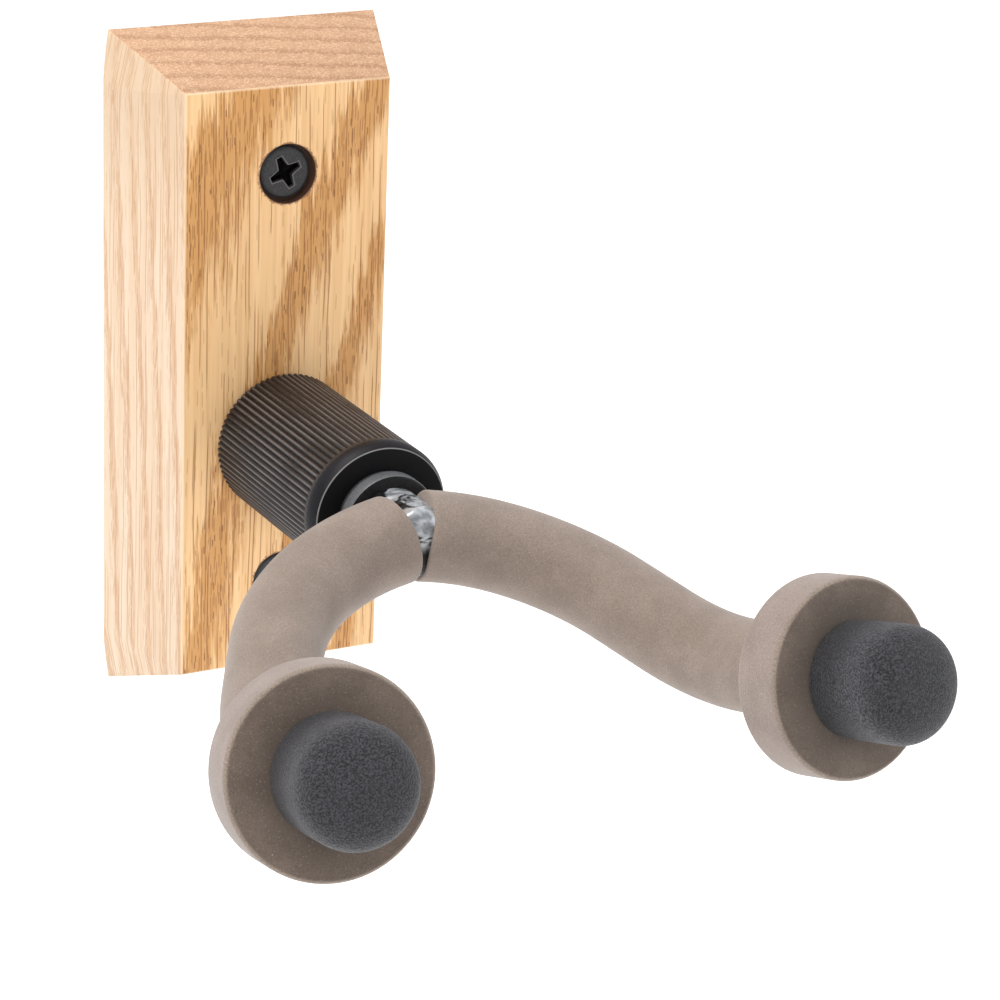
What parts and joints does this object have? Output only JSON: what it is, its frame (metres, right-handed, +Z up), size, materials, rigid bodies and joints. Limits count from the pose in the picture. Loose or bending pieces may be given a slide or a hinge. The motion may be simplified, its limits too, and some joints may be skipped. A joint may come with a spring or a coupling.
{
  "type": "wall guitar hanger",
  "caption": "Bevelled oak wall block with a knurled black housing and a swivelling padded yoke whose upturned arms, end discs and domed caps cradle a guitar's headstock.",
  "frame": {"origin": "centre of the block's back face, midway between the two wall screws, in the wall plane", "axes": "+Z up, +X to the right seen from the front, the front faces -Y, +Y points into the wall"},
  "size_m": [0.1164, 0.1791, 0.1156],
  "materials": {
    "oak": "satin oiled oak",
    "housing_black": "satin black over straight knurling",
    "screw_black": "black screw finish",
    "steel": "zinc plated",
    "bushing_bronze": "plain bearing bronze",
    "nylon_black": "matte",
    "nylon_natural": "matte",
    "yoke_black": "glossy black over weld",
    "sleeve_rubber": "matte taupe rubber",
    "disc_rubber": "matte taupe rubber",
    "cap_rubber": "grainy charcoal rubber"
  },
  "bodies": {
    "base": {"oak_backplate": "oak", "wall_screw_upper": "screw_black", "wall_screw_lower": "screw_black", "swivel_housing": "housing_black", "housing_screw_left": "steel", "housing_screw_right": "steel", "front_bushing": "bushing_bronze", "rear_bushing": "bushing_bronze", "thrust_washer": "nylon_black", "rear_washer": "steel"},
    "yoke": {"pivot_stud": "steel", "spring_washer": "steel", "lock_nut": "steel", "lock_nut_insert": "nylon_natural", "hub_collar": "yoke_black", "yoke_weld": "yoke_black", "arm_rod_left": "steel", "arm_rod_right": "steel", "arm_sleeve_left": "sleeve_rubber", "arm_sleeve_right": "sleeve_rubber", "end_disc_left": "disc_rubber", "end_disc_right": "disc_rubber", "end_cap_left": "cap_rubber", "end_cap_right": "cap_rubber"}
  },
  "joints": [
    {"name": "yoke_swivel", "type": "hinge", "parent": "base", "child": "yoke", "pos_m": [0, -0.057, -0.0107], "axis": [0, 1, 0], "continuous": true}
  ]
}
